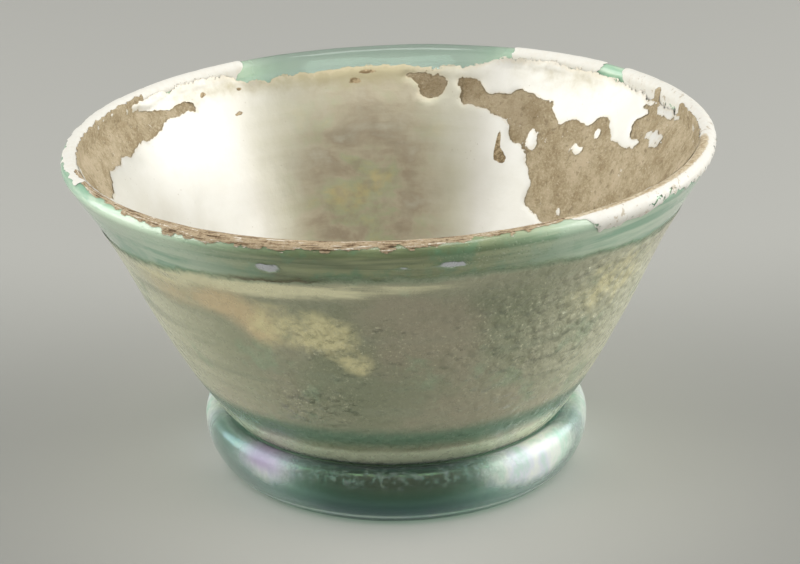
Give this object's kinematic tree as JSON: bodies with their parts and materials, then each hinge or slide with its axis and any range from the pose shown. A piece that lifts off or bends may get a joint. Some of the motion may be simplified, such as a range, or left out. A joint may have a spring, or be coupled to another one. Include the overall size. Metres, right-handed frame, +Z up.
{
  "type": "bowl",
  "caption": "Flaring blown-glass bowl with a rounded lip and a hollow tubular foot ring, lined with white weathering film and brown crust.",
  "frame": {"origin": "on the resting plane of the foot ring, below the middle of the rim", "axes": "+Z up through the mouth, +X to the side on which the rim is slightly higher, -Y to the front with the soiled lip"},
  "size_m": [0.1207, 0.12, 0.0658],
  "materials": {
    "glass": "clear blue-green blown glass, glossy",
    "film": "pearly silver-white weathering film, satin",
    "olive_film": "thin olive iridescent film, pitted, satin",
    "crust": "matte brown burial crust, fibrous",
    "enamel": "thick flaking white film, matte to satin"
  },
  "bodies": {
    "root": {"bowl_body": "glass", "foot_ring": "glass", "pontil_scar": "glass", "inner_film": "film", "outer_film": "olive_film", "soil_crust_right": "crust", "soil_crust_rear": "crust", "soil_crust_left": "crust", "rim_soil_front": "crust", "lip_enamel_right": "enamel", "lip_enamel_rear": "enamel", "lip_enamel_left": "enamel"}
  },
  "joints": []
}
